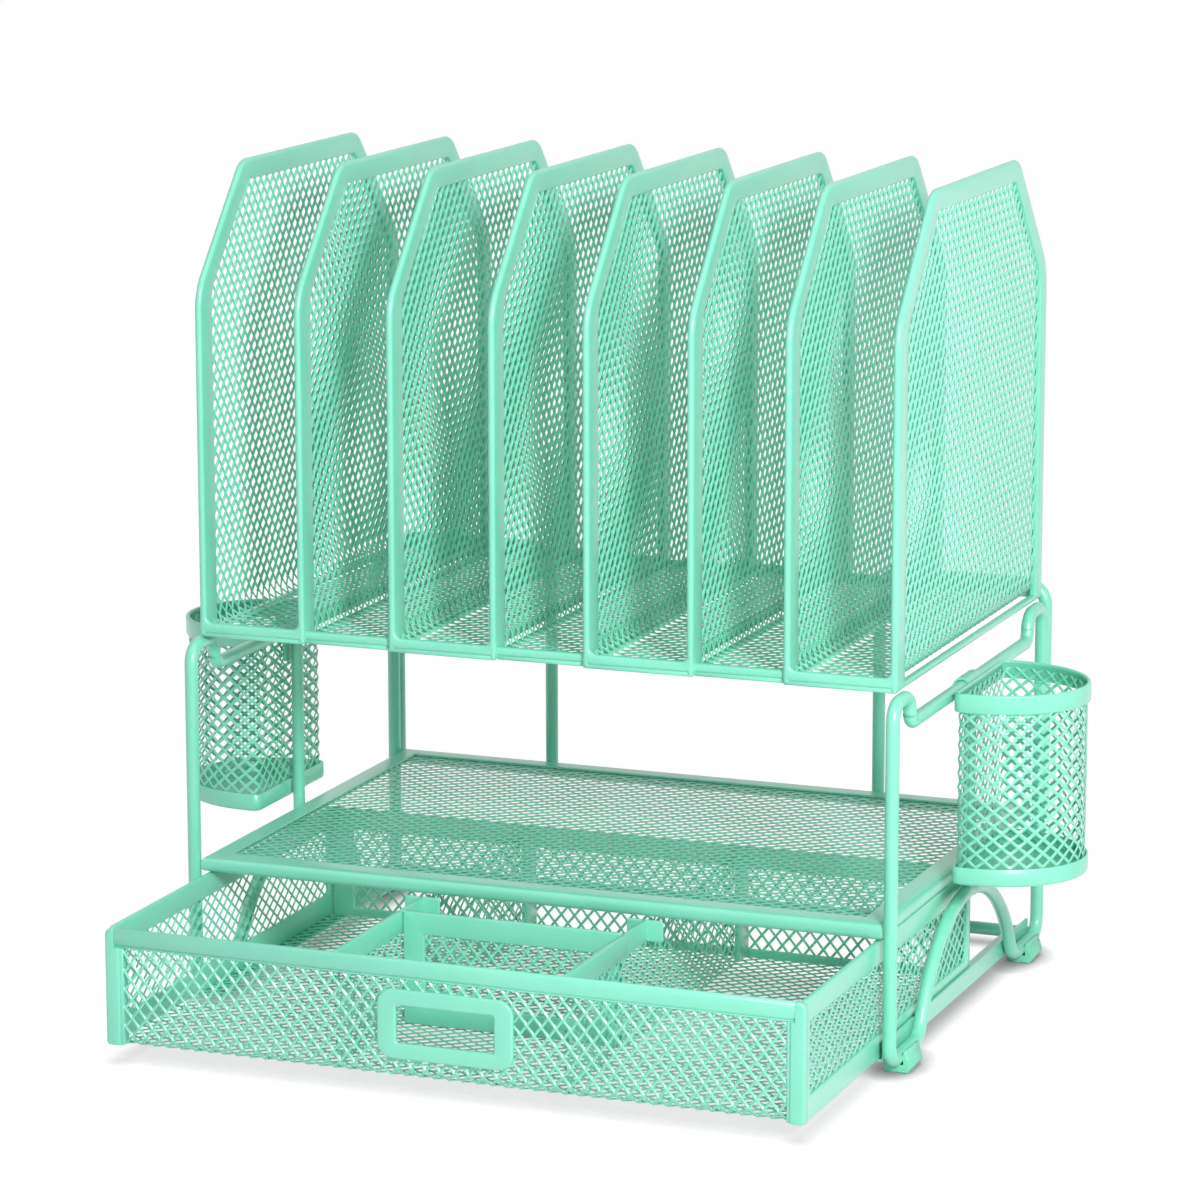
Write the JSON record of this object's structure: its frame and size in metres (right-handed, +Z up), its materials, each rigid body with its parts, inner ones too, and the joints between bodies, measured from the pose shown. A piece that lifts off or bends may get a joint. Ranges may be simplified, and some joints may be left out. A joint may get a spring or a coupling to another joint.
{
  "type": "desk organizer with drawer",
  "caption": "Mesh desk organizer: wire side frames hold a sliding drawer with compartments, a paper shelf, an upright file sorter and a hooked-on pen cup at each side.",
  "frame": {"origin": "middle of the bounding box on the floor plane, with the drawer open as in the picture", "axes": "+X to the right seen from the front, +Y from the front to the back, +Z up"},
  "size_m": [0.4372, 0.331, 0.3745],
  "materials": {
    "mint_paint": "gloss powder coat",
    "mint_plastic": "satin"
  },
  "bodies": {
    "stand": {"left_side_frame": "mint_paint", "left_mid_post": "mint_paint", "left_front_foot": "mint_plastic", "left_rear_foot": "mint_plastic", "left_runner": "mint_paint", "left_rear_brace": "mint_paint", "right_side_frame": "mint_paint", "right_mid_post": "mint_paint", "right_front_foot": "mint_plastic", "right_rear_foot": "mint_plastic", "right_runner": "mint_paint", "right_rear_brace": "mint_paint", "rear_bar": "mint_paint", "shelf_mesh": "mint_paint", "shelf_front_edge": "mint_paint", "shelf_rear_edge": "mint_paint", "shelf_left_edge": "mint_paint", "shelf_right_edge": "mint_paint", "divider_1": "mint_paint", "divider_2": "mint_paint", "divider_3": "mint_paint", "divider_4": "mint_paint", "divider_5": "mint_paint", "divider_6": "mint_paint", "divider_7": "mint_paint", "divider_8": "mint_paint", "tray_floor_1": "mint_paint", "tray_floor_2": "mint_paint", "tray_floor_3": "mint_paint", "tray_floor_4": "mint_paint", "link_floor_1": "mint_paint", "link_floor_2": "mint_paint", "link_floor_3": "mint_paint"},
    "drawer": {"drawer_front_rim": "mint_paint", "drawer_left_post": "mint_paint", "drawer_right_post": "mint_paint", "drawer_front_mesh": "mint_paint", "drawer_handle": "mint_paint", "drawer_floor": "mint_paint", "drawer_left_side": "mint_paint", "drawer_right_side": "mint_paint", "drawer_back": "mint_paint", "drawer_left_divider": "mint_paint", "drawer_right_divider": "mint_paint", "drawer_cross_divider": "mint_paint"},
    "left_cup": {"left_cup_band": "mint_paint", "left_cup_wall": "mint_paint", "left_cup_pan": "mint_paint", "left_cup_hook": "mint_paint"},
    "right_cup": {"right_cup_band": "mint_paint", "right_cup_wall": "mint_paint", "right_cup_pan": "mint_paint", "right_cup_hook": "mint_paint"}
  },
  "joints": [
    {"name": "drawer_slide", "type": "slide", "parent": "stand", "child": "drawer", "axis": [0, -1, 0], "range_m": [-0.086, 0.07]},
    {"name": "left_cup_slide", "type": "slide", "parent": "stand", "child": "left_cup", "axis": [0, 1, 0], "range_m": [-0.076, 0.07]},
    {"name": "right_cup_slide", "type": "slide", "parent": "stand", "child": "right_cup", "axis": [0, 1, 0], "range_m": [-0.068, 0.078]}
  ]
}
